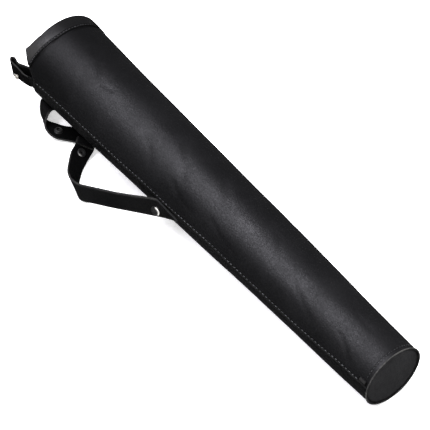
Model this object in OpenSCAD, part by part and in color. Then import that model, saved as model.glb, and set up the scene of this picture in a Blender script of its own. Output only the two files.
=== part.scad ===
// Tapered leather back quiver lying on its side, with a sewn lap seam,
// a bound open mouth, a recessed base cup and a two-piece snap strap.
// Millimetres. +X runs from the open mouth to the closed base, +Z is up.

/* [Tube] */
// Length from the mouth rim to the base end of the wall
tube_length = 600; // [400:5:800]
// Outer radius of the wall at the mouth
mouth_radius = 55.2; // [40:0.1:80]
// Outer radius of the wall at the base
base_radius = 39; // [25:0.1:60]
// Thickness of the tube leather
wall = 2.4; // [1.5:0.1:4]
// Gap between the two layers of the lap seam
lap_gap = 0.15; // [0.1:0.01:0.3]

/* [Mouth band] */
// Thickness of the leather folded over the mouth
band_thickness = 0.9; // [0.6:0.1:2]
// Clearance between the band and the wall
band_gap = 0.2; // [0.05:0.01:0.3]
// Distance from the band's lower edge to its stitching
band_stitch_inset = 2.6; // [1:0.1:5]

/* [Base] */
// Radius of the welt around the base
welt_radius = 39.8; // [25:0.1:60]
// Width of the welt's flat ring
welt_width = 2.6; // [1:0.1:6]
// Height of the welt along the tube
welt_height = 1.6; // [0.8:0.1:4]
// Radius of the base plate inside the welt
plate_radius = 36.9; // [20:0.1:56]
// Radius of the cup under the plate
cup_radius = 35; // [20:0.1:56]
// Shift of the cup away from the thick lap seam
cup_offset = 1.3; // [0:0.1:4]
// Thickness of the base leather
cup_thickness = 2.4; // [1.5:0.1:5]
// Depth of the cup's skirt inside the tube
cup_skirt = 16; // [8:0.5:40]
// Distance from the base end to the ring of stitching
base_stitch_inset = 5; // [4:0.5:15]

/* [Stitching] */
// Diameter of the sewing thread
thread = 0.6; // [0.4:0.05:1]
// Depth of the groove that the band's stitching lies in
groove = 0.7; // [0.3:0.05:0.8]
// Distance from the lap's edge to its stitching
lap_stitch_inset = 2.8; // [1:0.1:4]

/* [Straps] */
// Thickness of the strap leather
strap_thickness = 2.4; // [1.5:0.1:4]
// Thickness left under a snap or a rivet
seat_thickness = 1.8; // [1:0.1:3]
// Thickness of the leather in the loop at the mouth
loop_leather = 1.8; // [1:0.1:3]

/* [Metal] */
// Radius of a rivet cap
rivet_radius = 6.3; // [4:0.1:9]
// Height of a rivet cap
rivet_height = 2; // [1:0.1:3]
// Radius of a snap part
snap_radius = 5.8; // [4:0.1:9]
// Radius of the posts through the leather
post_radius = 1.9; // [1:0.1:3]

/* [Hidden] */
shift = [-282.6, 19.1, 0.09];
mouth_axis_z = 56.2;
base_axis_z = 39.8;
post_clearance = 0.1;
fine = 64;
leather = [0.13, 0.13, 0.14];
band_leather = [0.2, 0.2, 0.21];
suede = [0.08, 0.08, 0.08];
raw_edge = [0.5, 0.49, 0.47];
thread_grey = [0.5, 0.5, 0.52];
nickel = [0.72, 0.7, 0.66];
gunmetal = [0.3, 0.3, 0.31];

// Angle of the lap's visible edge around the tube at station x
function lap_angle(x) = lookup(x, [
  [0, 177], [60, 176], [150, 175], [190, 176], [215, 174],
  [260, 176.5], [310, 175.5], [340, 173.5], [400, 175], [480, 175],
  [530, 172], [556, 168.5], [572, 169], [600, 168]]);
// Station of the mouth edge at angle a from the lap edge
function rim_x(a) = lookup(a, [
  [0, 22], [34, -6], [42, -3], [60, 0], [288, 0], [304, 2],
  [316, 6], [330, 10], [346, 13], [376, 18]]);
// Station of the band's lower edge at angle a
function band_x(a) = lookup(a, [
  [19, 11], [40, 14], [60, 17], [75, 19], [100, 20], [310, 20]]);
// The under layer sits one leather thickness lower beside the lap
function lap_drop(a) = (wall + lap_gap) * lookup(a, [[316, 0], [332, 0.5], [350, 1], [376, 1]]);
function wall_radius(x) = mouth_radius + (base_radius - mouth_radius) * x / tube_length;
function axis_z(x) = mouth_axis_z + (base_axis_z - mouth_axis_z) * x / tube_length;
// Point at station x, angle a from the lap edge, offset r from the outer face
function on_wall(x, a, r) =
  let (t = lap_angle(x) - a, q = wall_radius(x) - lap_drop(a) + r)
  [x, q * cos(t), axis_z(x) + q * sin(t)];

// Point at station x and angle t around the tube, offset r from the outer face
function on_circle(x, t, r) =
  let (q = wall_radius(x) + r) [x, q * cos(t), axis_z(x) + q * sin(t)];

function unit(v) = v / norm(v);
function flat(list) = [for (row = list) each row];
// Smooth curve through the points p at parameter u
function curve(p, u) =
  let (
    last = len(p) - 1,
    i = min(last - 1, max(0, floor(u))),
    f = u - i,
    a = p[max(0, i - 1)],
    b = p[i],
    c = p[i + 1],
    d = p[min(last, i + 2)])
  0.5 * (2 * b + (c - a) * f + (2 * a - 5 * b + 4 * c - d) * f * f
    + (3 * b - a - 3 * c + d) * f * f * f);
function edge_at(route, side, u) = curve([for (s = route) s[side]], u);
function middle(route, u) = (edge_at(route, 0, u) + edge_at(route, 1, u)) / 2;
function across(route, u) = unit(edge_at(route, 0, u) - edge_at(route, 1, u));
function along(route, u) =
  unit(middle(route, min(u + 0.1, len(route) - 1)) - middle(route, max(u - 0.1, 0)));
// Direction out of the grain side of a strap
function outward(route, u) = unit(cross(along(route, u), across(route, u)));

// Rings of equal length joined into one closed solid
module loft(rings) {
  n = len(rings[0]);
  m = len(rings);
  polyhedron(
    points = flat(rings),
    faces = concat(
      [[for (j = [n - 1:-1:0]) j]],
      [[for (j = [0:n - 1]) (m - 1) * n + j]],
      flat([for (i = [0:m - 2], j = [0:n - 1])
        let (k = (j + 1) % n)
        [[i * n + j, i * n + k, (i + 1) * n + k],
         [i * n + j, (i + 1) * n + k, (i + 1) * n + j]]])),
    convexity = 10);
}

// A strap swept between the two edge curves of its route
module ribbon(route, thickness, from, to, step) {
  loft([for (u = [from:step:to])
    let (n = outward(route, u) * thickness / 2)
    [edge_at(route, 0, u) + n, edge_at(route, 0, u) - n,
     edge_at(route, 1, u) - n, edge_at(route, 1, u) + n]]);
}

// Places a child on a strap: its Z points out of the grain side
module on_strap(route, u, w) {
  z = outward(route, u);
  y = unit(across(route, u) - (across(route, u) * z) * z);
  x = cross(y, z);
  p = edge_at(route, 0, u) * w + edge_at(route, 1, u) * (1 - w);
  multmatrix([
    [x[0], y[0], z[0], p[0]],
    [x[1], y[1], z[1], p[1]],
    [x[2], y[2], z[2], p[2]],
    [0, 0, 0, 1]]) children();
}

// Hole and flat seats for a fastener through leather
module fastener_cut(radius, above, below) {
  cylinder(r = post_radius + post_clearance, h = 40, center = true, $fn = fine);
  translate([0, 0, above]) cylinder(r = radius + 0.3, h = 2.5, $fn = fine);
  translate([0, 0, -below - 2.5]) cylinder(r = radius + 0.3, h = 2.5, $fn = fine);
}

// Edge curves of the loop at the mouth, from inside the wall, out, round its
// fold and back along its free tail
loop_route = [
  [[2, -49.9, 52.2], [1, -45.2, 30]],
  [[-4, -51.2, 52], [-5, -46.8, 29.5]],
  [[-12, -51, 52], [-12, -47.5, 28.3]],
  [[-20, -50.6, 52], [-20, -48.2, 27.9]],
  [[-28, -50.4, 52], [-26, -49.3, 27.7]],
  [[-33, -50.1, 52], [-29.3, -49.6, 27.6]],
  [[-35.6, -47.8, 54], [-31, -47.4, 27.6]],
  [[-33.4, -45.2, 54.6], [-29.6, -44.8, 27.6]],
  [[-28, -45.9, 55.4], [-26, -45, 27.7]],
  [[-20, -48.4, 57.6], [-20, -46.25, 27.9]],
  [[-12, -46.6, 59.2], [-12, -44.6, 29.2]],
  [[-5, -43.6, 59.4], [-5, -41.6, 31.6]],
  [[3, -41.6, 60.4], [3, -39.8, 34.4]]];
loop_rivet_u = 3.1;
loop_rivet_w = 0.28;
// Edge curves of the upper strap: camera side, far side
upper_route = [
  [[36.5, -38, 14.6], [12, -38, 14.4]],
  [[38.5, -43.5, 18.6], [14, -42.5, 15.6]],
  [[41.5, -50, 20.4], [18.5, -46.5, 12]],
  [[45, -57, 17.5], [24, -50, 6]],
  [[49, -62, 14], [30, -51, 4]],
  [[56, -64, 11], [39, -49, 3]],
  [[63, -63, 8], [48, -44, 3]],
  [[69, -60, 6], [57, -39, 3]],
  [[75, -55, 5], [65, -32, 3]],
  [[80, -50, 4], [71, -27, 3]],
  [[86.5, -45.5, 4], [77.5, -25.2, 2.8]],
  [[93, -41, 4], [84, -24, 2.6]]];
upper_flex_u = 1.4;
upper_snap_u = 6.65;
// Edge curves of the lower strap; the first stations turn its end back
lower_route = [
  [[98, -53, 19], [112, -37, 7]],
  [[94, -49, 19], [107, -33, 7]],
  [[91.5, -45.5, 18.5], [104.5, -29.5, 6.5]],
  [[91.5, -46.5, 16], [104.5, -30.5, 4]],
  [[97, -53, 16], [111, -37, 4]],
  [[105, -65, 18], [118, -51, 3]],
  [[117, -77, 21], [126, -65, 2]],
  [[128, -87, 23], [136, -77, 2]],
  [[137, -92, 24], [147, -87, 2]],
  [[145, -93, 24], [157, -93, 2]],
  [[154, -91, 24], [165, -92, 2]],
  [[165, -86, 26], [174, -86, 3]],
  [[178, -80, 29], [187, -80, 6]],
  [[194, -73, 33], [201, -73, 9]],
  [[210, -66, 38], [217, -66, 14]],
  [[225, -60, 44], [233, -60, 20]],
  [[237, -55, 49], [249, -55, 27]],
  [[245, -51.4, 51.5], [266, -51.5, 36]],
  [[250, -49.8, 53], [288, -49.2, 48]]];
lower_rivet_u = 16.5;
lower_rivet_w = 0.3;
lower_snap_u = 4.65;

angles = [0, 4, 9, 14, 19, 24, 29, 34, 40, 46, 52, 58, 64, 70, 76, 82, 88, 94,
  100, 106, 112, 118, 124, 130, 136, 142, 148, 154, 160, 166, 172, 178, 184,
  190, 196, 202, 208, 214, 220, 226, 232, 238, 244, 250, 256, 262, 268, 274,
  280, 286, 292, 298, 304, 310, 316, 322, 328, 334, 340, 346, 352, 356, 360,
  364, 369, 374];
sections = 30;

module body_panel() {
  color(leather)
  loft([for (a = angles)
    concat(
      [for (i = [sections:-1:0])
        on_wall(rim_x(a) + (tube_length - rim_x(a)) * i / sections, a, 0)],
      [for (i = [0:sections])
        on_wall(rim_x(a) + (tube_length - rim_x(a)) * i / sections, a, -wall)])]);
}

// A round thread laid over the wall along a list of [station, angle]
module wall_thread(path, lift) {
  loft([for (p = path)
    let (c = on_wall(p[0], p[1], lift + thread / 2 + 0.08),
         o = unit(on_wall(p[0], p[1], lift + 1) - on_wall(p[0], p[1], lift)),
         q = path[0][0] == path[1][0] ? [1, 0, 0] : unit(cross([1, 0, 0], o)))
    [for (k = [5:-1:0]) c + thread / 2 * (o * cos(60 * k) + q * sin(60 * k))]]);
}

function lap_inset(x) = 360 * lap_stitch_inset / (2 * PI * wall_radius(x));

module seam_thread() {
  color(thread_grey)
  wall_thread([for (x = [25:5:590]) [x, lap_inset(x)]], 0);
}

module seam_end_patch() {
  color(band_leather)
  loft([for (x = [586:2:598])
    [on_wall(x, 4.6, 1.2), on_wall(x, 14, 1.2), on_wall(x, 14, 0.15), on_wall(x, 4.6, 0.15)]]);
}

band_angles = [for (a = angles) if (a >= 19 && a <= 286) a];

module mouth_band() {
  color(band_leather)
  loft([for (a = band_angles)
    let (r = rim_x(a), l = band_x(a), o = band_gap + band_thickness)
    [on_wall(l, a, band_gap), on_wall(l, a, o),
     on_wall(l - band_stitch_inset + 0.5, a, o),
     on_wall(l - band_stitch_inset + 0.4, a, o - groove),
     on_wall(l - band_stitch_inset - 0.4, a, o - groove),
     on_wall(l - band_stitch_inset - 0.5, a, o),
     on_wall(r - o, a, o), on_wall(r - o, a, -wall - o),
     on_wall(l, a, -wall - o), on_wall(l, a, -wall - band_gap),
     on_wall(r - band_gap, a, -wall - band_gap), on_wall(r - band_gap, a, band_gap)]]);
}

module mouth_band_thread() {
  color(thread_grey)
  loft([for (a = band_angles) if (a >= 24 && a <= 280)
    let (l = band_x(a) - band_stitch_inset,
         c = on_wall(l, a, band_gap + band_thickness - groove + thread / 2 + 0.05),
         o = unit(on_wall(l, a, 1) - on_wall(l, a, 0)))
    [for (k = [5:-1:0]) c + thread / 2 * (o * cos(60 * k) + [1, 0, 0] * sin(60 * k))]]);
}

module base_frame() {
  translate([tube_length, 0, base_axis_z]) rotate([0, 90, 0]) children();
}

module base_cup() {
  color(leather) base_frame()
  union() {
    translate([0, 0, 0.05]) cylinder(r = plate_radius, h = 0.6, $fn = 96);
    translate([0, cup_offset, 0])
    rotate_extrude($fn = 96)
    polygon([
      [0, 0.3 - cup_thickness], [cup_radius - cup_thickness, 0.3 - cup_thickness],
      [cup_radius - cup_thickness, -cup_skirt], [cup_radius, -cup_skirt],
      [cup_radius, 0.3], [0, 0.3]]);
  }
}

module base_welt() {
  color(raw_edge) base_frame()
  translate([0, 0, 0.1])
  rotate_extrude($fn = 96)
  polygon([
    [welt_radius - welt_width, 0], [welt_radius - 0.3, 0], [welt_radius, 0.4],
    [welt_radius, welt_height - 0.5], [welt_radius - 0.5, welt_height],
    [welt_radius - welt_width + 0.4, welt_height],
    [welt_radius - welt_width, welt_height - 0.4]]);
}

base_thread_angles = [for (a = angles) if (a >= 19 && a <= 306) a];

module base_thread() {
  color(thread_grey)
  loft([for (a = base_thread_angles)
    let (l = tube_length - base_stitch_inset,
         c = on_wall(l, a, thread / 2 + 0.08),
         o = unit(on_wall(l, a, 1) - on_wall(l, a, 0)))
    [for (k = [5:-1:0]) c + thread / 2 * (o * cos(60 * k) + [1, 0, 0] * sin(60 * k))]]);
}

// Strip folded into a loop, its two layers pinned by one rivet
module mouth_loop() {
  color(leather)
  difference() {
    ribbon(loop_route, loop_leather, 0, 12, 1 / 3);
    on_strap(loop_route, loop_rivet_u, loop_rivet_w) {
      cylinder(r = post_radius + post_clearance, h = 40, center = true, $fn = fine);
      translate([0, 0, 0.75]) cylinder(r = rivet_radius + 0.3, h = 2, $fn = fine);
      translate([0, 0, -2.85 - 2]) cylinder(r = 5, h = 2, $fn = fine);
    }
  }
}

// The loop's leather where it is sewn to the inside of the wall
module mouth_loop_root() {
  color(leather)
  loft([for (a = [326:3:353])
    [for (q = [[27, -wall - 2.1], [27, -wall - 0.3], [12, -wall - 0.3],
               [9, -wall - 0.1], [3.4, -wall + 0.7], [3, -wall - 1], [9, -wall - 1.9]])
      on_wall(q[0], a, q[1])]]);
}

module strap_leather(route, from, to) {
  ribbon(route, strap_thickness, from, to, (to - from) / ceil((to - from) * 3));
}

module upper_strap() {
  color(leather)
  difference() {
    strap_leather(upper_route, upper_flex_u + 0.05, 11);
    on_strap(upper_route, upper_snap_u, 0.5)
      fastener_cut(snap_radius, seat_thickness / 2, seat_thickness / 2);
  }
}

// Domed cap with a solid post, seated on the plane z = 0
module domed_cap(radius, height, post) {
  rotate_extrude($fn = fine)
  polygon([
    [0, -post], [post_radius, -post], [post_radius, 0], [radius - 0.4, 0],
    [radius, 0.4], [radius * 0.93, height * 0.5], [radius * 0.75, height * 0.8],
    [radius * 0.4, height * 0.96], [0, height]]);
}

// Flat washer-like back that takes the end of a post
module rivet_back(radius, height) {
  rotate_extrude($fn = fine)
  polygon([
    [post_radius + 0.02, 0], [radius - 0.3, 0], [radius, 0.3],
    [radius - 0.6, height], [post_radius + 0.02, height]]);
}

module mouth_rivet_cap() {
  color(nickel)
  on_strap(loop_route, loop_rivet_u, loop_rivet_w)
  translate([0, 0, 0.8])
  domed_cap(rivet_radius, rivet_height, 4.6);
}

module mouth_rivet_back() {
  color(nickel)
  on_strap(loop_route, loop_rivet_u, loop_rivet_w)
  translate([0, 0, -2.9])
  mirror([0, 0, 1]) rivet_back(4.6, 0.9);
}

// The upper strap's sewn end under the tube, up to where the strap flexes
module upper_strap_root() {
  color(leather)
  union() {
    loft([for (x = [12:2.5:37])
      concat(
        [for (t = [226:3:244]) on_circle(x, t, 0.1)],
        [for (t = [244:-3:226]) on_circle(x, t, strap_thickness + 0.1)])]);
    strap_leather(upper_route, 0, upper_flex_u - 0.03);
  }
}

module upper_snap_cap() {
  color(gunmetal)
  on_strap(upper_route, upper_snap_u, 0.5)
  translate([0, 0, seat_thickness / 2 + 0.05])
  domed_cap(snap_radius, 1.4, 2.4);
}

module upper_snap_socket() {
  color(gunmetal)
  on_strap(upper_route, upper_snap_u, 0.5)
  translate([0, 0, -seat_thickness / 2 - 0.05])
  mirror([0, 0, 1])
  rotate_extrude($fn = fine)
  polygon([
    [post_radius + 0.02, 0], [snap_radius - 0.4, 0], [snap_radius, 0.4],
    [snap_radius, 0.9], [4.6, 1.5], [4.2, 2.9], [3.3, 3.1], [2.7, 2.7],
    [2.9, 0.9], [post_radius + 0.02, 0.8]]);
}

module lower_strap() {
  color(leather)
  difference() {
    strap_leather(lower_route, 0, 18);
    on_strap(lower_route, lower_rivet_u, lower_rivet_w)
      fastener_cut(rivet_radius, seat_thickness / 2, 40);
    on_strap(lower_route, lower_snap_u, 0.5)
      fastener_cut(snap_radius, seat_thickness / 2, seat_thickness / 2);
  }
}

// Turned-back end that lies between the strap and the tube
module lower_strap_return() {
  color(suede)
  difference() {
    loft([for (u = [15.5:0.3:17.3])
      let (n = outward(lower_route, u),
           a = edge_at(lower_route, 0, u) - n * 1.45,
           b = edge_at(lower_route, 1, u) - n * 1.45,
           t = -n * 1.2)
      [b + t, b, a * 0.75 + b * 0.25, a * 0.75 + b * 0.25 + t]]);
    on_strap(lower_route, lower_rivet_u, lower_rivet_w)
      fastener_cut(rivet_radius, 40, 2.45);
  }
}

module lower_rivet_cap() {
  color(nickel)
  on_strap(lower_route, lower_rivet_u, lower_rivet_w)
  translate([0, 0, seat_thickness / 2 + 0.05])
  domed_cap(rivet_radius, rivet_height, 4.2);
}

module lower_rivet_back() {
  color(nickel)
  on_strap(lower_route, lower_rivet_u, lower_rivet_w)
  translate([0, 0, -2.5])
  mirror([0, 0, 1]) rivet_back(4.6, 0.9);
}

module lower_snap_stud() {
  color(gunmetal)
  on_strap(lower_route, lower_snap_u, 0.5)
  translate([0, 0, seat_thickness / 2 + 0.05])
  rotate_extrude($fn = fine)
  polygon([
    [post_radius + 0.02, 0], [5, 0], [5.2, 0.3], [4.8, 0.8], [2.8, 1],
    [2.4, 1.6], [2.8, 2.4], [2.2, 3], [post_radius + 0.02, 3]]);
}

module lower_snap_eyelet() {
  color(gunmetal)
  on_strap(lower_route, lower_snap_u, 0.5)
  translate([0, 0, -seat_thickness / 2 - 0.05])
  mirror([0, 0, 1])
  rotate_extrude($fn = fine)
  polygon([
    [1.1, -3.6], [post_radius, -3.6], [post_radius, 0], [snap_radius - 1, 0],
    [snap_radius - 0.6, 0.4], [snap_radius - 1, 0.9], [3.4, 1.2],
    [2, 0.9], [1.1, 0]]);
}

module place() {
  translate(shift) children();
}

place() body_panel();
place() seam_thread();
place() seam_end_patch();
place() mouth_band();
place() mouth_band_thread();
place() base_cup();
place() base_welt();
place() base_thread();
place() mouth_loop();
place() mouth_loop_root();
place() upper_strap();
place() mouth_rivet_cap();
place() mouth_rivet_back();
place() upper_strap_root();
place() upper_snap_cap();
place() upper_snap_socket();
place() lower_strap();
place() lower_strap_return();
place() lower_rivet_cap();
place() lower_rivet_back();
place() lower_snap_stud();
place() lower_snap_eyelet();
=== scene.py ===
"""Back quiver: a tapered leather tube with a bound mouth, a sewn lap seam, a
closed base, a folded loop at the mouth and two strap ends with fasteners."""
import math

import bpy
import numpy as np
from mathutils import Matrix, Vector


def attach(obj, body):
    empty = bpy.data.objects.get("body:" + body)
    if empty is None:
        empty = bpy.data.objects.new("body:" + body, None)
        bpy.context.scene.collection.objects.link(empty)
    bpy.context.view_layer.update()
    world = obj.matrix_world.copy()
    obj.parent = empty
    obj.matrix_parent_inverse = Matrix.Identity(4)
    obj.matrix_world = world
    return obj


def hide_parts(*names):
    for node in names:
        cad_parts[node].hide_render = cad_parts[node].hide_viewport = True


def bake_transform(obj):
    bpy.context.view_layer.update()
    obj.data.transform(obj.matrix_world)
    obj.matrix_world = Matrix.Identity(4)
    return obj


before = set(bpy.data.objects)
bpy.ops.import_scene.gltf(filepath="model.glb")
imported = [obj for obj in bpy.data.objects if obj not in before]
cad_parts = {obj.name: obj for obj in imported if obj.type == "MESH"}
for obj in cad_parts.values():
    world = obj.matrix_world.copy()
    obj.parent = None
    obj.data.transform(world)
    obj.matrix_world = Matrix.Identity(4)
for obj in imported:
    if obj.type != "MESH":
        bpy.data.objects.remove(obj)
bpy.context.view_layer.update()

# ---------------------------------------------------------------- dimensions
# Millimetres in the tube's own axes: x from the mouth (0) to the base (600),
# z up from the floor, the lap seam on the -y side.
SHIFT = np.array([-282.6, 19.1, 0.09])
LENGTH = 600.0
WALL = 2.4
LAP_GAP = 0.15
MOUTH_RADIUS, BASE_RADIUS = 55.2, 39.0
MOUTH_AXIS_Z, BASE_AXIS_Z = 56.2, 39.8
STRAP_THICKNESS = 2.4
LOOP_THICKNESS = 1.8
THREAD = 0.6
SEAM_INSET = 2.8
BAND_GAP, BAND_LEAF, BAND_STITCH_INSET = 0.2, 0.9, 2.6
BAND_ENDS = (19, 286)
BASE_STITCH_X = 595
BASE_STITCH_ENDS = (19, 306)
DISC_EDGE = 36.9
WELT_RADIUS = 38.5
DEGREE = math.radians(1)
# Mean wall radius that turns a crease's angles into lengths, and its depth factor
CREASE_RADIUS, CREASE_DEPTH = 48, 1.7
# Stations of the fasteners along the straps' routes
LOOP_RIVET_U, UPPER_SNAP_U, LOWER_SNAP_U, LOWER_RIVET_U = 3.1, 6.65, 4.65, 16.5

LAP_X = [0, 60, 150, 190, 215, 260, 310, 340, 400, 480, 530, 556, 572, 600]
LAP_ANGLE = [177, 176, 175, 176, 174, 176.5, 175.5, 173.5, 175, 175, 172,
             168.5, 169, 168]
RIM_ANGLE = [0, 34, 42, 60, 288, 304, 316, 330, 346, 376]
RIM_X = [22, -6, -3, 0, 0, 2, 6, 10, 13, 18]
BAND_ANGLE = [19, 40, 60, 75, 100, 310]
BAND_X = [11, 14, 17, 19, 20, 20]
DROP_ANGLE = [316, 332, 350, 376]
DROP = [0, 0.5, 1, 1]

LOOP_ROUTE = [
    [[2, -49.9, 52.2], [1, -45.2, 30]],
    [[-4, -51.2, 52], [-5, -46.8, 29.5]],
    [[-12, -51, 52], [-12, -47.5, 28.3]],
    [[-20, -50.6, 52], [-20, -48.2, 27.9]],
    [[-28, -50.4, 52], [-26, -49.3, 27.7]],
    [[-33, -50.1, 52], [-29.3, -49.6, 27.6]],
    [[-35.6, -47.8, 54], [-31, -47.4, 27.6]],
    [[-33.4, -45.2, 54.6], [-29.6, -44.8, 27.6]],
    [[-28, -45.9, 55.4], [-26, -45, 27.7]],
    [[-20, -48.4, 57.6], [-20, -46.25, 27.9]],
    [[-12, -46.6, 59.2], [-12, -44.6, 29.2]],
    [[-5, -43.6, 59.4], [-5, -41.6, 31.6]],
    [[3, -41.6, 60.4], [3, -39.8, 34.4]]]
UPPER_ROUTE = [
    [[36.5, -38, 14.6], [12, -38, 14.4]],
    [[38.5, -43.5, 18.6], [14, -42.5, 15.6]],
    [[41.5, -50, 20.4], [18.5, -46.5, 12]],
    [[45, -57, 17.5], [24, -50, 6]],
    [[49, -62, 14], [30, -51, 4]],
    [[56, -64, 11], [39, -49, 3]],
    [[63, -63, 8], [48, -44, 3]],
    [[69, -60, 6], [57, -39, 3]],
    [[75, -55, 5], [65, -32, 3]],
    [[80, -50, 4], [71, -27, 3]],
    [[86.5, -45.5, 4], [77.5, -25.2, 2.8]],
    [[93, -41, 4], [84, -24, 2.6]]]
LOWER_ROUTE = [
    [[98, -53, 19], [112, -37, 7]],
    [[94, -49, 19], [107, -33, 7]],
    [[91.5, -45.5, 18.5], [104.5, -29.5, 6.5]],
    [[91.5, -46.5, 16], [104.5, -30.5, 4]],
    [[97, -53, 16], [111, -37, 4]],
    [[105, -65, 18], [118, -51, 3]],
    [[117, -77, 21], [126, -65, 2]],
    [[128, -87, 23], [136, -77, 2]],
    [[137, -92, 24], [147, -87, 2]],
    [[145, -93, 24], [157, -93, 2]],
    [[154, -91, 24], [165, -92, 2]],
    [[165, -86, 26], [174, -86, 3]],
    [[178, -80, 29], [187, -80, 6]],
    [[194, -73, 33], [201, -73, 9]],
    [[210, -66, 38], [217, -66, 14]],
    [[225, -60, 44], [233, -60, 20]],
    [[237, -55, 49], [249, -55, 27]],
    [[245, -51.4, 51.5], [266, -51.5, 36]],
    [[250, -49.8, 53], [288, -49.2, 48]]]


def metres(points):
    return (np.asarray(points, float) + SHIFT) * 0.001


# ---------------------------------------------------------------- wall shape
# Soft marks in the leather: route of [station, angle], width, depth
CREASES = [
    ([[84, 88], [92, 74], [106, 66], [120, 70]], 2.6, 0.26),
    ([[74, 96], [80, 84], [92, 78]], 3.0, 0.16),
    ([[196, 60], [214, 48], [224, 34]], 4.0, 0.22),
    ([[236, 88], [258, 72], [270, 52]], 5.0, 0.24),
    ([[262, 40], [280, 28], [304, 24]], 3.6, 0.26),
    ([[300, 96], [322, 80], [338, 58]], 5.0, 0.2),
    ([[330, 36], [352, 26], [376, 22]], 3.2, 0.24),
    ([[404, 90], [420, 70], [428, 48]], 4.4, 0.2),
    ([[450, 60], [476, 46], [500, 30]], 4.0, 0.22),
    ([[540, 44], [556, 30], [566, 18]], 2.6, 0.3),
    ([[520, 96], [540, 84], [562, 80]], 3.4, 0.18),
    ([[140, 140], [170, 128], [188, 108]], 4.0, 0.2),
    ([[380, 150], [400, 138], [430, 130]], 4.0, 0.2)]


def smooth_lap_angle(x):
    """The lap edge's angle, its corners eased over a few millimetres."""
    spread = np.linspace(-14, 14, 9)
    weight = np.exp(-(spread / 8) ** 2)
    total = sum(w * np.interp(x + d, LAP_X, LAP_ANGLE) for w, d in zip(weight, spread))
    return total / weight.sum()


def wall_radius(x):
    return MOUTH_RADIUS + (BASE_RADIUS - MOUTH_RADIUS) * x / LENGTH


def axis_z(x):
    return MOUTH_AXIS_Z + (BASE_AXIS_Z - MOUTH_AXIS_Z) * x / LENGTH


def lap_drop(a):
    return (WALL + LAP_GAP) * np.interp(a, DROP_ANGLE, DROP)


def crease_depth(x, a):
    """Depth of the soft creases at station x and angle a."""
    across = a * DEGREE * CREASE_RADIUS
    total = np.zeros(np.broadcast(x, a).shape)
    for route, width, depth in CREASES:
        near = np.full(total.shape, 1e9)
        route = np.array(route, float) * [1, DEGREE * CREASE_RADIUS]
        for p, q in zip(route[:-1], route[1:]):
            run = q - p
            f = ((x - p[0]) * run[0] + (across - p[1]) * run[1]) / (run @ run)
            f = np.clip(f, 0, 1)
            near = np.minimum(near, np.hypot(x - p[0] - f * run[0], across - p[1] - f * run[1]))
        total += CREASE_DEPTH * depth * np.exp(-(near / width) ** 2)
    return total


def relief(x, a):
    """How far the outer face stands off its plain taper."""
    t = np.radians(smooth_lap_angle(x) - a)
    waves = (0.32 * np.sin(x / 61 + 2.1 * np.sin(t + 0.4)) + 0.2 * np.sin(x / 33 + 3 * t)
             + 0.08 * np.sin(x / 17 - 5 * t + 1))
    clear = np.clip((1 + np.sin(t)) * 1.6, 0, 1)
    inset = a * DEGREE * wall_radius(x)
    seam = 0.4 * np.exp(-((inset - SEAM_INSET) / 0.8) ** 2)
    ridge = 0.25 * np.exp(-((inset - 1.2) / 0.8) ** 2)
    foot = 0.28 * np.exp(-((x - BASE_STITCH_X) / 1.1) ** 2) * ((a > 14) & (a < 310))
    return (waves - 0.2 - crease_depth(x, a)) * clear - seam - foot + ridge


def on_wall(x, a, r):
    """Point at station x, angle a from the lap edge, offset r from the face."""
    x, a, r = np.broadcast_arrays(np.asarray(x, float), np.asarray(a, float), np.asarray(r, float))
    t = np.radians(smooth_lap_angle(x) - a)
    q = wall_radius(x) - lap_drop(a) + relief(x, a) + r
    return np.stack([x, q * np.cos(t), axis_z(x) + q * np.sin(t)], -1)


def on_circle(x, t, r):
    """Point at station x and angle t round the tube, offset r from the face."""
    x, t, r = np.broadcast_arrays(np.asarray(x, float), np.radians(t), np.asarray(r, float))
    q = wall_radius(x) + r
    return np.stack([x, q * np.cos(t), axis_z(x) + q * np.sin(t)], -1)


def unit(v):
    v = np.asarray(v, float)
    return v / np.linalg.norm(v, axis=-1, keepdims=True)


# ---------------------------------------------------------------- materials
# Channels of the mesh's colour attribute: the first lightens for wear and painted highlights, the
# second darkens and dulls for painted shade and a duller finish
WEAR_AND_HIGHLIGHT, DULL_AND_SHADE = 0, 1


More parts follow.
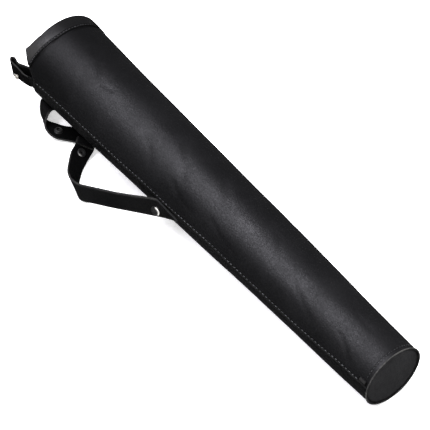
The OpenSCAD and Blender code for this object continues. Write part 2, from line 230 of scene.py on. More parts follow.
class Nodes:
    """A small builder for one procedural material."""

    def __init__(self, name):
        self.material = bpy.data.materials.new(name)
        self.material.use_nodes = True
        self.tree = self.material.node_tree
        self.bsdf = self.tree.nodes["Principled BSDF"]
        self.where = self.add("ShaderNodeTexCoord").outputs["Object"]

    def add(self, kind, **inputs):
        node = self.tree.nodes.new(kind)
        for key, value in inputs.items():
            self.feed(node.inputs[key.replace("_", " ")], value)
        return node

    def feed(self, socket, value):
        if isinstance(value, bpy.types.NodeSocket):
            self.tree.links.new(value, socket)
        else:
            socket.default_value = value

    def noise(self, per_metre, detail=4.0, roughness=0.55, stretch=None):
        """Noise with so many features in a metre, optionally stretched."""
        place = self.where
        if stretch:
            place = self.add("ShaderNodeMapping", Vector=place, Scale=stretch).outputs[0]
        node = self.add("ShaderNodeTexNoise", Vector=place, Scale=per_metre, Detail=detail,
                        Roughness=roughness)
        return node.outputs[0]

    def cells(self, per_metre):
        node = self.add("ShaderNodeTexVoronoi", Vector=self.where, Scale=per_metre)
        node.feature = "SMOOTH_F1"
        node.inputs["Smoothness"].default_value = 0.35
        return node.outputs["Distance"]

    def fit(self, value, low, high, to_low, to_high):
        node = self.add("ShaderNodeMapRange")
        for socket, v in zip(node.inputs, (value, low, high, to_low, to_high)):
            self.feed(socket, v)
        return node.outputs[0]

    def math(self, operation, a, b):
        node = self.tree.nodes.new("ShaderNodeMath")
        node.operation = operation
        self.feed(node.inputs[0], a)
        self.feed(node.inputs[1], b)
        return node.outputs[0]

    def mix(self, factor, a, b):
        node = self.tree.nodes.new("ShaderNodeMix")
        node.data_type = "RGBA"
        self.feed(node.inputs[0], factor)
        self.feed(node.inputs[6], a)
        self.feed(node.inputs[7], b)
        return node.outputs[2]

    def wear_and_painted_light(self, channel):
        """0 to 1 from a channel of the mesh's own colours of wear, painted highlights and painted
        shade.
        """
        node = self.tree.nodes.new("ShaderNodeAttribute")
        node.attribute_name = "wear_and_painted_light"
        split = self.add("ShaderNodeSeparateColor", Color=node.outputs["Color"])
        return split.outputs[channel]

    def bump(self, height, strength, distance, after=None):
        node = self.add("ShaderNodeBump", Strength=strength, Distance=distance, Height=height)
        if after is not None:
            self.feed(node.inputs["Normal"], after)
        return node.outputs[0]

    def set(self, **inputs):
        for key, value in inputs.items():
            self.feed(self.bsdf.inputs[key.replace("_", " ")], value)
        return self.material


def rgb(r, g, b):
    return (r, g, b, 1.0)


def leather(name, dark, light, rough, specular, grain=900, depth=0.00012, scuff=0.35):
    """Finished leather: pored grain, mottled dye, scuffs; worn places and painted highlights
    lighten it, painted shade darkens it and cuts its shine.
    """
    n = Nodes(name)
    mottle = n.noise(16, 5, 0.6)
    fine = n.noise(grain * 1.7, 3, 0.6)
    pores = n.cells(grain)
    scuffs = n.fit(n.noise(70, 7, 0.7, (1, 0.35, 0.35)), 0.56, 0.76, 0, scuff)
    colour = n.mix(n.fit(mottle, 0.3, 0.7, 0, 1), dark, light)
    colour = n.mix(n.math("MULTIPLY", scuffs, 0.5), colour, [c * 2.2 for c in light[:3]] + [1])
    # Lighter by the first channel: worn places and painted highlights
    colour = n.mix(n.math("MULTIPLY", n.wear_and_painted_light(WEAR_AND_HIGHLIGHT), 0.5), colour, rgb(0.06, 0.058, 0.056))
    # Darker and less shiny by the second channel: painted shade in creases, grooves and under
    # edges, and a duller finish near the mouth
    colour = n.mix(n.math("MULTIPLY", n.wear_and_painted_light(DULL_AND_SHADE), 0.85), colour, rgb(0.0012, 0.0012, 0.0012))
    spread = n.fit(n.math("ADD", mottle, n.math("MULTIPLY", fine, 0.6)),
                   0.5, 1.1, rough - 0.05, rough + 0.07)
    spread = n.math("ADD", spread, n.math("MULTIPLY", scuffs, 0.12))
    patches = n.fit(n.noise(38, 5, 0.6, (0.6, 1, 1)), 0.3, 0.7, -0.05, 0.05)
    specks = n.fit(n.noise(430, 3, 0.7), 0.3, 0.7, -0.09, 0.09)
    spread = n.math("ADD", spread, n.math("ADD", patches, specks))
    grain_bump = n.bump(n.math("ADD", pores, n.math("MULTIPLY", fine, 0.5)), 0.35, depth)
    soft_bump = n.bump(n.noise(380, 4, 0.7), 0.5, 0.0004, grain_bump)
    soft_bump = n.bump(n.noise(40, 4, 0.55), 0.4, 0.0014, soft_bump)
    shine = n.math("MULTIPLY", n.fit(n.wear_and_painted_light(DULL_AND_SHADE), 0, 1, 1, 0.12), specular)
    return n.set(Base_Color=colour, Roughness=spread, Specular_IOR_Level=shine, Normal=soft_bump)


def suede(name, dark, light):
    """Unfinished flesh side: matte, with short lying fibres."""
    n = Nodes(name)
    fibres = n.noise(1500, 4, 0.75, (1, 0.3, 0.6))
    patch = n.noise(60, 4, 0.6)
    colour = n.mix(n.fit(n.math("ADD", fibres, patch), 0.7, 1.3, 0, 1), dark, light)
    return n.set(Base_Color=colour, Roughness=n.fit(fibres, 0.3, 0.7, 0.85, 1.0),
                 Specular_IOR_Level=0.03, Normal=n.bump(fibres, 0.6, 0.0003))


def cut_edge(name, dark, light):
    """Cut leather edge: layered fibres, part burnished."""
    n = Nodes(name)
    layers = n.noise(700, 5, 0.7, (0.25, 1, 1))
    patch = n.noise(120, 3, 0.6)
    colour = n.mix(n.fit(n.math("ADD", layers, patch), 0.75, 1.25, 0, 1), dark, light)
    return n.set(Base_Color=colour, Roughness=n.fit(patch, 0.3, 0.7, 0.5, 0.75),
                 Specular_IOR_Level=0.3, Normal=n.bump(layers, 0.5, 0.0002))


def thread(name, dark, light):
    """Waxed thread with a fine twist."""
    n = Nodes(name)
    twist = n.noise(2600, 2, 0.5, (1, 1, 2))
    colour = n.mix(n.fit(n.noise(300, 3), 0.3, 0.7, 0, 1), dark, light)
    return n.set(Base_Color=colour, Roughness=n.fit(twist, 0.3, 0.7, 0.45, 0.7),
                 Specular_IOR_Level=0.4, Normal=n.bump(twist, 0.6, 0.0002))


def metal(name, dark, light, rough, bright=0.8, plate=0.7):
    """Plated metal: faint scratches, dulled patches, brighter rubbed edges, and on some fittings a
    painted one-sided glint.
    """
    n = Nodes(name)
    scratches = n.noise(900, 4, 0.7, (1, 0.12, 0.12))
    patch = n.noise(220, 4, 0.6)
    colour = n.mix(n.fit(patch, 0.35, 0.65, 0, 1), dark, light)
    colour = n.mix(n.math("MULTIPLY", n.wear_and_painted_light(WEAR_AND_HIGHLIGHT), 0.8), colour,
                   rgb(bright, bright * 0.98, bright * 0.93))
    roughness = n.math("ADD", n.fit(scratches, 0.35, 0.7, rough - 0.05, rough + 0.12),
                       n.math("MULTIPLY", n.wear_and_painted_light(DULL_AND_SHADE), 0.2))
    return n.set(Base_Color=colour, Metallic=plate, Roughness=roughness,
                 Normal=n.bump(scratches, 0.15, 0.00008))


BODY = leather("body_leather", rgb(0.0018, 0.0018, 0.0021), rgb(0.003, 0.003, 0.0034), 0.5, 0.3)
BAND = leather("band_leather", rgb(0.0028, 0.0028, 0.003), rgb(0.0056, 0.0056, 0.006), 0.44, 0.36,
               grain=1300, depth=0.00009)
BASE = leather("base_leather", rgb(0.0095, 0.0095, 0.0102), rgb(0.0145, 0.0145, 0.0158), 0.55, 0.25,
               grain=1000, scuff=0.2)
STRAP = leather("strap_leather", rgb(0.0018, 0.0018, 0.0019), rgb(0.0034, 0.0034, 0.0036), 0.62,
                0.12, grain=1000)
SUEDE = suede("strap_suede", rgb(0.0007, 0.0007, 0.0007), rgb(0.0022, 0.0022, 0.0023))
LINING = suede("tube_lining", rgb(0.008, 0.0078, 0.0075), rgb(0.018, 0.0175, 0.017))
EDGE = cut_edge("raw_edge", rgb(0.003, 0.003, 0.003), rgb(0.015, 0.0147, 0.014))
# The welt's raw edge, made lighter also as a painted highlight along the welt
WELT_EDGE = cut_edge("welt_edge", rgb(0.012, 0.012, 0.012), rgb(0.045, 0.044, 0.042))
# Dyed cut edge; also painted shade on the straps' far end faces and the welt's inner side
DARK_EDGE = cut_edge("dyed_and_shaded_edge", rgb(0.003, 0.003, 0.0032), rgb(0.009, 0.009, 0.0093))
THREAD_GREY = thread("thread", rgb(0.02, 0.0205, 0.022), rgb(0.1, 0.102, 0.108))
THREAD_DARK = thread("dark_thread", rgb(0.01, 0.01, 0.011), rgb(0.055, 0.056, 0.06))
NICKEL = metal("nickel", rgb(0.42, 0.4, 0.35), rgb(0.62, 0.59, 0.52), 0.3)
GUNMETAL = metal("gunmetal", rgb(0.02, 0.02, 0.021), rgb(0.06, 0.06, 0.062), 0.3, 0.45)
# Black metal for fittings that carry a painted glint in a bright one-sided band
BLACK_GLINT_METAL = metal("black_metal_painted_glint", rgb(0.008, 0.008, 0.008), rgb(0.02, 0.02, 0.02), 0.36,
                   0.95, 0.35)
BLACKENED = metal("blackened_metal", rgb(0.006, 0.006, 0.006), rgb(0.014, 0.014, 0.0145), 0.42,
                  0.06, 0.4)


# ---------------------------------------------------------------- mesh tools
def make_piece(name, points, faces, materials, face_material, body, nodes=(),
               wear_and_painted_light=None, sharp=42):
    """One mesh object from points in tube millimetres, riding on a body."""
    mesh = bpy.data.meshes.new(name)
    mesh.from_pydata(metres(points).tolist(), [], faces)
    for m in materials:
        mesh.materials.append(m)
    mesh.polygons.foreach_set("material_index", np.asarray(face_material, np.int32))
    mesh.polygons.foreach_set("use_smooth", np.ones(len(mesh.polygons), bool))
    colours = np.zeros((len(points), 4), np.float32)
    colours[:, 3] = 1
    if wear_and_painted_light is not None:
        colours[:, :2] = wear_and_painted_light
    layer = mesh.color_attributes.new("wear_and_painted_light", "FLOAT_COLOR", "POINT")
    layer.data.foreach_set("color", colours.ravel())
    mesh.update()
    mesh.validate()
    mesh.set_sharp_from_angle(angle=math.radians(sharp))
    piece = bpy.data.objects.new(name, mesh)
    bpy.context.scene.collection.objects.link(piece)
    if nodes:
        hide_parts(*nodes)
    if body:
        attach(piece, body)
    return piece


def loft(rings, closed_ends=True, across_material=None, end_material=0):
    """Quads between rings of points, with the ends filled."""
    rings = np.asarray(rings, float)
    m, n = rings.shape[:2]
    across_material = np.zeros(n, int) if across_material is None else np.asarray(across_material)
    i, j = np.meshgrid(np.arange(m - 1), np.arange(n), indexing="ij")
    k = (j + 1) % n
    quads = np.stack([i * n + j, i * n + k, (i + 1) * n + k, (i + 1) * n + j], -1).reshape(-1, 4)
    faces, used = quads.tolist(), np.broadcast_to(across_material, (m - 1, n)).ravel().tolist()
    if closed_ends:
        faces += [list(range(n - 1, -1, -1)), list(range((m - 1) * n, m * n))]
        used += [end_material, end_material]
    return rings.reshape(-1, 3), faces, used


def joined(parts):
    """Several (points, faces, materials) in one."""
    points, faces, used, start = [], [], [], 0
    for p, f, u in parts:
        points.append(p)
        faces += [[start + i for i in face] for face in f]
        used += list(u)
        start += len(p)
    return np.concatenate(points), faces, used


def curve(points, u):
    """Smooth curve through the points at parameters u."""
    points = np.asarray(points, float)
    last = len(points) - 1
    u = np.atleast_1d(u)
    i = np.clip(np.floor(u).astype(int), 0, last - 1)
    f = (u - i)[:, None]
    a, b = points[np.maximum(i - 1, 0)], points[i]
    c, d = points[i + 1], points[np.minimum(i + 2, last)]
    return 0.5 * (2 * b + (c - a) * f + (2 * a - 5 * b + 4 * c - d) * f ** 2
                  + (3 * b - a - 3 * c + d) * f ** 3)


# Order of a strap's materials: grain side, cut edge, flesh side, and the dark edge on the far end
# face as painted shade
GRAIN, CUT, FLESH, SHADED_END = 0, 1, 2, 3
STRAP_MATERIALS = [STRAP, EDGE, SUEDE, DARK_EDGE]


class Strap:
    """A flat strap between the two edge curves of its route."""

    def __init__(self, route, thickness):
        self.near = [s[0] for s in route]
        self.far = [s[1] for s in route]
        self.last = len(route) - 1
        self.thickness = thickness

    def frames(self, u):
        u = np.atleast_1d(np.asarray(u, float))
        near, far = curve(self.near, u), curve(self.far, u)
        ahead, behind = np.minimum(u + 0.1, self.last), np.maximum(u - 0.1, 0)
        run = unit(curve(self.near, ahead) + curve(self.far, ahead)
                   - curve(self.near, behind) - curve(self.far, behind))
        across = unit(near - far)
        return near, far, across, unit(np.cross(run, across))

    def section(self, points_across=12, corner=0.7):
        """Rounded section: [place across -1 to 1, inset, height] and materials."""
        half = self.thickness / 2
        arc = np.radians(np.linspace(0, 90, 5))
        spread = np.linspace(1, -1, points_across)
        rows, kinds = [], []

        def flat(places, height, kind):
            for place in places:
                rows.append([place, corner if abs(place) == 1 else 0, height])
                kinds.append(kind)
            kinds[-1] = CUT

        def rounded(side, face, turn):
            for t in turn:
                rows.append([side, corner * (1 - math.sin(t)),
                             face * (half - corner * (1 - math.cos(t)))])
                kinds.append(CUT)

        flat(spread, half, GRAIN)
        rounded(-1, 1, arc[1:])
        rounded(-1, -1, arc[::-1])
        kinds[-1] = FLESH
        flat(spread[::-1][1:], -half, FLESH)
        rounded(1, -1, arc[1:])
        rounded(1, 1, arc[::-1][:-1])
        return np.array(rows), kinds

    def rings(self, u, dents=()):
        """Rings of the rounded section along the strap."""
        near, far, across, up = self.frames(u)
        rows, kinds = self.section()
        middle, half = (near + far) / 2, np.linalg.norm(near - far, axis=1) / 2
        place = rows[None, :, 0] * half[:, None] - np.sign(rows[None, :, 0]) * rows[None, :, 1]
        ripple = 0.1 * np.sin(np.asarray(u)[:, None] * 5 + place * 0.3) * (np.abs(rows[:, 2]) > 1)
        height = rows[None, :, 2] + ripple
        points = (middle[:, None] + across[:, None] * place[..., None]
                  + up[:, None] * height[..., None])
        for centre, radius, depth in dents:
            away = np.linalg.norm(points - centre, axis=-1)
            pull = depth * np.clip(1 - (away / radius) ** 2, 0, 1) ** 2
            points = points - up[:, None] * (pull * np.sign(rows[None, :, 2]))[..., None]
        return points, kinds

    def axes(self, u, w):
        """Point and axes for something set on the strap at u, w from far to near."""
        near, far, across, up = (v[0] for v in self.frames(u))
        z = up
        y = unit(across - (across @ z) * z)
        return near * w + far * (1 - w), np.cross(y, z), y, z


def strap_piece(name, strap, start, stop, step, body, nodes=(), dents=()):
    """A length of strap with a grain side, a flesh side and cut edges."""
    u = np.linspace(start, stop, max(3, int(round((stop - start) / step)) + 1))
    rings, kinds = strap.rings(u, dents)
    points, faces, used = loft(rings, True, kinds, CUT)
    # The far end face is painted dark as shade where the strap's end tucks away
    used[-1] = SHADED_END
    rows, _ = strap.section()
    edge = np.clip(1 - (1 - np.abs(rows[:, 0])) * 8, 0, 1) * 0.5
    wear_and_painted_light = np.zeros((len(points), 2))
    wear_and_painted_light[:, 0] = np.tile(edge, len(u))
    return make_piece(name, points, faces, STRAP_MATERIALS, used, body, nodes,
                      wear_and_painted_light)


def turned(profile, centre, axes, steps=64):
    """A profile of [radius, height] turned round an axis."""
    x, y, z = axes
    t = np.linspace(0, 2 * math.pi, steps, endpoint=False)
    out = np.cos(t)[:, None] * x + np.sin(t)[:, None] * y
    return loft([centre + radius * out + height * z for radius, height in profile], True)


def turned_piece(name, profile, centre, axes, material, body, node, rubbed_and_glint_band):
    """A turned fitting, brightened in a band: radius, width and, if one-sided, the side. A round
    band is a rubbed rim; a one-sided band is a painted glint.
    """
    points, faces, used = turned(profile, centre, axes)
    wear_and_painted_light = np.zeros((len(points), 2))
    away = np.linalg.norm(np.cross(points - centre, axes[2]), axis=1)
    wear_and_painted_light[:, WEAR_AND_HIGHLIGHT] = np.exp(-((away - rubbed_and_glint_band[0]) / rubbed_and_glint_band[1]) ** 2)
    if len(rubbed_and_glint_band) > 2:
        # One-sided: a painted glint on the side turned towards the light
        wear_and_painted_light[:, WEAR_AND_HIGHLIGHT] *= np.clip(unit(points - centre + 1e-6) @ rubbed_and_glint_band[2] * 3 - 1, 0, 1)
    return make_piece(name, points, faces, [material], used, body, [node], wear_and_painted_light, 50)


# ---------------------------------------------------------------- the tube
def wall_angle_grid(x):
    """Angles of the wall's long lines at stations x, close together at the lap."""
    inset = np.array([0, 0.12, 0.3, 0.6, 1.0, 1.4, 1.8, 2.2, 2.5, 2.8, 3.1, 3.5, 4.1, 5.0, 6.0,
                      7.2])
    edge = inset[None, :] / (wall_radius(x)[:, None] * DEGREE)
    rest = np.concatenate([np.arange(14, 312, 2.0), np.arange(312, 354, 2.0),
                           [354, 356, 358, 359, 360, 361, 362, 364, 366, 368, 370, 372, 373.2,
                            374]])
    return np.concatenate([edge, np.broadcast_to(rest, (len(x), len(rest)))], axis=1)


def build_tube():
    s = np.concatenate([np.linspace(0, 0.02, 7)[:-1], np.linspace(0.02, 0.985, 212)[:-1],
                        np.linspace(0.985, 1, 9)])
    round_rim = np.radians(np.linspace(90, 270, 9))
    half = WALL / 2
    rings, rows_of_wear_and_light = [], []
    inner_s = np.linspace(0, 1, 60)
    for c, guess in enumerate(wall_angle_grid(np.array([0.0]))[0]):
        rim = np.interp(guess, RIM_ANGLE, RIM_X)
        x_out = rim + half + (LENGTH - rim - half) * s[::-1]
        x_round = rim + half + half * np.cos(round_rim)
        x_in = rim + half + (LENGTH - rim - half) * inner_s
        x = np.concatenate([x_out, x_round[1:-1], x_in])
        a = wall_angle_grid(x)[:, c]
        inset = a * DEGREE * wall_radius(x)
        thin = np.clip(inset / 0.9, 0, 1)
        lap_round = half * (1 - np.sqrt(1 - (1 - thin) ** 2))
        depth = np.concatenate([np.zeros(len(x_out)), -half + half * np.sin(round_rim[1:-1]),
                                np.full(len(x_in), -WALL)])
        depth = -half + (depth + half) * (1 - lap_round / half)
        rings.append(on_wall(x, a, depth))
        # Lighter along the lap edge and at the rim: edge wear and a painted highlight on the edges
        edge = np.exp(-((inset - 1) / 0.9) ** 2) * 0.22 + np.exp(-((x - rim) / 1.6) ** 2) * 0.4
        # Painted shade in the crease along the lap stitching
        seam = np.exp(-((inset - SEAM_INSET) / 0.9) ** 2) * 0.55
        low = np.interp(guess, BAND_ANGLE, BAND_X)
        under_band = BAND_ENDS[0] < guess < BAND_ENDS[1]
        # Painted shadow line on the body just under the binding's lower edge
        band_shadow_line = np.exp(-((x - low - 0.5) / 1.0) ** 2) * under_band
        # A duller, darker finish towards the mouth
        near_mouth = 0.34 * np.clip((170 - x) / 150, 0, 1)
        # Painted shade in the groove of the base stitching
        stitched = BASE_STITCH_ENDS[0] < guess < BASE_STITCH_ENDS[1]
        base_stitch_shade = 0.6 * np.exp(-((x - BASE_STITCH_X) / 0.9) ** 2) * stitched
        # All the darkening together, with painted shade in the soft creases
        dark = seam + band_shadow_line + base_stitch_shade + near_mouth + 0.3 * crease_depth(x, a)
        rows_of_wear_and_light.append(np.stack([edge, np.clip(dark, 0, 1)], -1))
    n_out, n_round, n_in = len(x_out), len(x_round) - 2, len(x_in)
    outside, cut, inside = 0, 1, 2
    kinds = [outside] * (n_out - 1) + [cut] * (n_round + 1) + [inside] * (n_in - 1) + [cut]
    points, faces, used = loft(np.array(rings)[::-1], True, kinds, cut)
    return make_piece("tube_leather", points, faces, [BODY, DARK_EDGE, LINING], used, "quiver",
                      ["body_panel"], np.array(rows_of_wear_and_light)[::-1].reshape(-1, 2), 50)


def build_band():
    gap, leaf = BAND_GAP, BAND_LEAF
    angles = np.concatenate([[19, 19.3, 19.8], np.arange(21, 285, 1.5), [285.2, 285.7, 286]])
    rings, rows_of_wear_and_light = [], []
    turn = np.radians(np.linspace(90, 270, 13))
    outer, inner = WALL / 2 + gap + leaf, WALL / 2 + gap
    ends = np.interp(angles, [19, 19.8, 285.2, 286], [0.55, 1, 1, 0.55])
    for a, full in zip(angles, ends):
        rim, low = np.interp(a, RIM_ANGLE, RIM_X), np.interp(a, BAND_ANGLE, BAND_X)
        top = gap + leaf * full + 0.08 * math.sin(a * 0.16) * full
        stitch = low - BAND_STITCH_INSET
        centre = rim - 1.02 + outer
        profile = [[low - 0.1, gap], [low, gap + 0.25], [low - 0.05, top - 0.25], [low - 0.35, top],
                   [low - 1.1, top + 0.05], [stitch + 0.8, top - 0.03], [stitch + 0.45, top - 0.45],
                   [stitch, top - 0.68], [stitch - 0.45, top - 0.45], [stitch - 0.8, top - 0.03]]
        far = stitch - 0.8
        for f in np.linspace(0.08, 0.94, 9):
            puff = 0.198 * math.sin(math.pi * f) * full
            profile.append([far + (centre - far) * f, top + puff])
        for t in turn:
            r = outer if full == 1 else inner + leaf * full
            profile.append([centre + r * math.cos(t), -WALL / 2 + r * math.sin(t)])
        profile += [[centre + 4, -WALL - gap - leaf], [low - 4, -WALL - gap - leaf],
                    [low - 0.3, -WALL - gap - leaf], [low, -WALL - gap - leaf + 0.3],
                    [low, -WALL - gap - 0.15], [low - 0.2, -WALL - gap],
                    [low - 4, -WALL - gap], [centre + 4, -WALL - gap]]
        for t in turn[::-1][::2]:
            profile.append([centre + inner * math.cos(t), -WALL / 2 + inner * math.sin(t)])
        profile = np.array(profile)
        rings.append(on_wall(profile[:, 0], a, profile[:, 1]))
        # Lighter at the rim: edge wear and a painted highlight
        light_and_wear_marks = np.exp(-((profile[:, 0] - rim + 1) / 1.2) ** 2) * 0.3
        # Painted sheen on one stretch of the binding, between the rim and the stitching
        light_and_wear_marks += 0.45 * math.exp(-((a - 36) / 18) ** 2) * (profile[:, 0] < stitch)
        # Painted shade in the stitch groove, and a painted shadow line at the lower edge
        groove_shade_and_dimming = np.exp(-((profile[:, 0] - stitch) / 0.9) ** 2) * (profile[:, 1] > 0)
        groove_shade_and_dimming += 1.2 * np.exp(-((profile[:, 0] - low) / 0.8) ** 2)
        # Darker and duller towards higher angles round the binding
        groove_shade_and_dimming += 0.4 * np.clip((a - 50) / 40, 0, 1)
        rows_of_wear_and_light.append(np.stack([np.clip(light_and_wear_marks, 0, 1), np.clip(groove_shade_and_dimming, 0, 1)], -1))
    points, faces, used = loft(np.array(rings)[::-1], True)
    return make_piece("mouth_binding", points, faces, [BAND], used, "quiver", ["mouth_band"],
                      np.array(rows_of_wear_and_light)[::-1].reshape(-1, 2), 60)


def stitch(points_at, start, length, dip, radius=THREAD / 2):
    """One stitch: a short bowed thread whose ends dip into the leather."""
    f = np.linspace(0, 1, 9)
    lift = radius * 0.9 - dip * (np.abs(2 * f - 1) ** 3)
    path = points_at(start + length * f, lift)
    run = unit(np.gradient(path, axis=0))
    away = unit(points_at(start + length * f, lift + 1) - path)
    side = np.cross(run, away)
    size = radius * (1 - 0.25 * np.abs(2 * f - 1) ** 4)
    t = np.linspace(0, 2 * math.pi, 8, endpoint=False)
    rings = (path[:, None] + size[:, None, None] * (np.cos(t)[None, :, None] * away[:, None]
                                                    + np.sin(t)[None, :, None] * side[:, None]))
    return loft(rings, True)


def stitches(name, points_at, start, stop, pitch, length, nodes, material):
    """A row of separate stitches along a line on the wall."""
    count = int((stop - start) / pitch)
    parts = []
    for i in range(count):
        wander = 0.12 * math.sin(i * 2.4) * pitch * 0.3
        parts.append(stitch(points_at, start + i * pitch + wander, length, 0.55))
    points, faces, used = joined(parts)
    return make_piece(name, points, faces, [material], used, "quiver", nodes)


def build_stitching():
    def along_lap(x, lift):
        a = SEAM_INSET / (wall_radius(x) * DEGREE)
        return on_wall(x, a, lift)
    stitches("lap_stitches", along_lap, 25, 590, 5.4, 3.1, ["seam_thread"],
             THREAD_GREY)

    def along_band(s, lift):
        a = s / (DEGREE * MOUTH_RADIUS)
        x = np.interp(a, BAND_ANGLE, BAND_X) - BAND_STITCH_INSET
        return on_wall(x, a, BAND_GAP + 0.22 + lift)
    reach = DEGREE * MOUTH_RADIUS
    stitches("binding_stitches", along_band, 24 * reach, 280 * reach, 4.2, 3.0,
             ["mouth_band_thread"], THREAD_DARK)

    def round_base(s, lift):
        a = s / (DEGREE * wall_radius(BASE_STITCH_X))
        return on_wall(BASE_STITCH_X, a, lift)
    reach = DEGREE * wall_radius(BASE_STITCH_X)
    first, last = BASE_STITCH_ENDS
    stitches("base_stitches", round_base, first * reach, last * reach, 4.0, 2.8,
             ["base_thread"], THREAD_DARK)


def build_seam_end():
    """The small patch over the end of the lap at the base."""
    rings = []
    x = np.linspace(586, 598, 13)
    for i, s in enumerate(x):
        a = np.array([4.6, 5.2, 7.5, 10, 12, 13.4, 14, 13.6, 10, 7, 5])
        r = np.array([0.5, 1.0, 1.2, 1.25, 1.15, 1.0, 0.5, 0.15, 0.15, 0.15, 0.15])
        shrink = 1 - 0.12 * max(0, 1 - i / 2) - 0.12 * max(0, 1 - (12 - i) / 2)
        low_ends = 0.7 + 0.3 * min(1, i / 2, (12 - i) / 2)
        rings.append(on_wall(s, 9.3 + (a - 9.3) * shrink, r * low_ends))
    points, faces, used = loft(rings, True)
    # The tab is darker and duller along its edges and a little lighter on top
    rim = np.zeros((len(x), 11))
    rim[:, [0, 1, 5, 6, 7]] = 1
    rim[[0, 1, -2, -1]] = 1
    light_and_wear_marks = np.stack([0.3 * (1 - rim), rim], -1).reshape(-1, 2)
    make_piece("seam_end_tab", points, faces, [BAND], used, "quiver", ["seam_end_patch"],
               light_and_wear_marks)


def build_base():
    """The closed end: a let-in cup, a cover disc and the rolled welt round it."""
    axes = (np.array([0.0, 0, -1]), np.array([0.0, 1, 0]), np.array([1.0, 0, 0]))
    centre = np.array([LENGTH, 0, BASE_AXIS_Z])
    disc = [[0.01, 0.35]] + [[36.3 * f, 0.35 + 0.12 * math.sin(f * 7) - 0.1 * f] for f in
                             np.linspace(0.06, 1, 22)]
    disc += [[36.7, 0.4], [DISC_EDGE, 0.25], [DISC_EDGE, 0.1], [36.6, 0.05], [0.01, 0.05]]
    cup = [[0.01, -0.05], [34.2, -0.05], [34.9, -0.4], [35, -1.2], [35, -15.4], [34.6, -16],
           [32.9, -16], [32.6, -15.4], [32.6, -2.9], [32, -2.3], [0.01, -2.1]]
    cup_centre = centre + np.array([0, 1.3, 0])
    points, faces, used = joined([turned(disc[::-1], centre, axes, 128),
                                  turned(cup[::-1], cup_centre, axes, 96)])
    wear_and_painted_light = np.zeros((len(points), 2))
    away = np.hypot(points[:, 1], points[:, 2] - BASE_AXIS_Z)
    # Painted shade: a darker, duller ring round the disc's edge where it meets the welt
    wear_and_painted_light[:, DULL_AND_SHADE] = np.exp(-((away - DISC_EDGE) / 1.2) ** 2)
    make_piece("base_disc", points, faces, [BASE], used, "quiver", ["base_cup"],
               wear_and_painted_light)

    ring = []
    for t in np.radians(np.arange(0, 360, 15)):
        ring.append([WELT_RADIUS + 1.3 * math.cos(t) * (1 - 0.1 * math.sin(t)),
                     0.9 + 0.8 * math.sin(t)])
    t = np.linspace(0, 2 * math.pi, 160, endpoint=False)
    rings = []
    for a in t:
        swell = 1 + 0.05 * math.sin(9 * a) + 0.03 * math.sin(23 * a + 1)
        out = np.array([0, math.cos(a), math.sin(a)])
        rings.append([centre + out * (WELT_RADIUS + (r - WELT_RADIUS) * swell) + np.array([h, 0, 0])
                      for r, h in ring])
    rings.append(rings[0])
    # The cut edge shows outside; the side that faces the disc takes the dark edge material as
    # painted shade between the welt and the disc
    facing = [1 if 5 <= i <= 15 else 0 for i in range(len(ring))]
    points, faces, used = loft(np.array(rings), False, facing)
    make_piece("base_rolled_welt", points, faces, [WELT_EDGE, DARK_EDGE], used, "quiver",
               ["base_welt"])


# ---------------------------------------------------------------- the straps
LOOP = Strap(LOOP_ROUTE, LOOP_THICKNESS)
UPPER = Strap(UPPER_ROUTE, STRAP_THICKNESS)
LOWER = Strap(LOWER_ROUTE, STRAP_THICKNESS)


def patch_on_wall(name, angles, outline, on_surface, node, material):
    """A leather patch sewn to the wall, given by its outline of [station, offset]."""
    rings = [on_surface(np.array([p[0] for p in outline]), a, np.array([p[1] for p in outline]))
             for a in angles]
    points, faces, used = loft(rings, True)
    return make_piece(name, points, faces, [material], used, "quiver", node)


def build_loop():
    seat = LOOP.axes(LOOP_RIVET_U, 0.28)
    dents = [(seat[0], 8.5, 0.25)]
    strap_piece("mouth_loop_leather", LOOP, 0, 12, 0.1, "mouth_loop", ["mouth_loop"], dents)
    outline = [[27, -4.5], [27.4, -3.6], [27, -2.7], [12, -2.7], [9, -2.5], [3.4, -1.7],
               [2.8, -2.5], [3, -3.4], [9, -4.3], [12, -4.4]]
    patch_on_wall("mouth_loop_sewn_end", np.arange(326, 354, 1.5), outline, on_wall,
                  ["mouth_loop_root"], STRAP)


def build_upper():
    seat = UPPER.axes(UPPER_SNAP_U, 0.5)
    dents = [(seat[0], 9, 0.35)]
    strap_piece("upper_strap_leather", UPPER, 1.75, 11, 0.1, "upper_strap", ["upper_strap"], dents)
    strap_piece("upper_strap_sewn_end", UPPER, 0, 1.05, 0.1, "quiver", ["upper_strap_root"])
    t = np.arange(226, 245, 1.5)
    outline = [[12, 0.4], [12.4, 0.12], [36.6, 0.12], [37, 0.4], [37, 2.1], [36.5, 2.5],
               [12.5, 2.5], [12, 2.1]]
    rings = [on_circle(np.array([p[0] for p in outline]), a, np.array([p[1] for p in outline]))
             for a in t]
    points, faces, used = loft(rings, True)
    make_piece("upper_strap_sewn_patch", points, faces, [STRAP], used, "quiver")
    flex = strap_piece("upper_strap_bend", UPPER, 1.0, 1.8, 0.05, None)
    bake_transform(flex)


def build_lower():
    snap, rivet = LOWER.axes(LOWER_SNAP_U, 0.5), LOWER.axes(LOWER_RIVET_U, 0.3)
    dents = [(snap[0], 9, 0.3), (rivet[0], 9, 0.3)]
    strap_piece("lower_strap_leather", LOWER, 0, 18, 0.08, "lower_strap", ["lower_strap"], dents)
    near, far, _, up = LOWER.frames(np.arange(15.5, 17.31, 0.1))
    rings = []
    for place, low in ((0.0, 2.45), (0.04, 2.65), (0.25, 2.65), (0.5, 2.65), (0.71, 2.65),
                       (0.75, 2.45), (0.75, 1.65), (0.71, 1.45), (0.5, 1.45), (0.25, 1.45),
                       (0.04, 1.45), (0.0, 1.65)):
        rings.append(near * place + far * (1 - place) - up * low)
    points, faces, used = loft(np.array(rings).transpose(1, 0, 2), True)
    make_piece("lower_strap_turned_end", points, faces, [SUEDE], used, "lower_strap",
               ["lower_strap_return"])


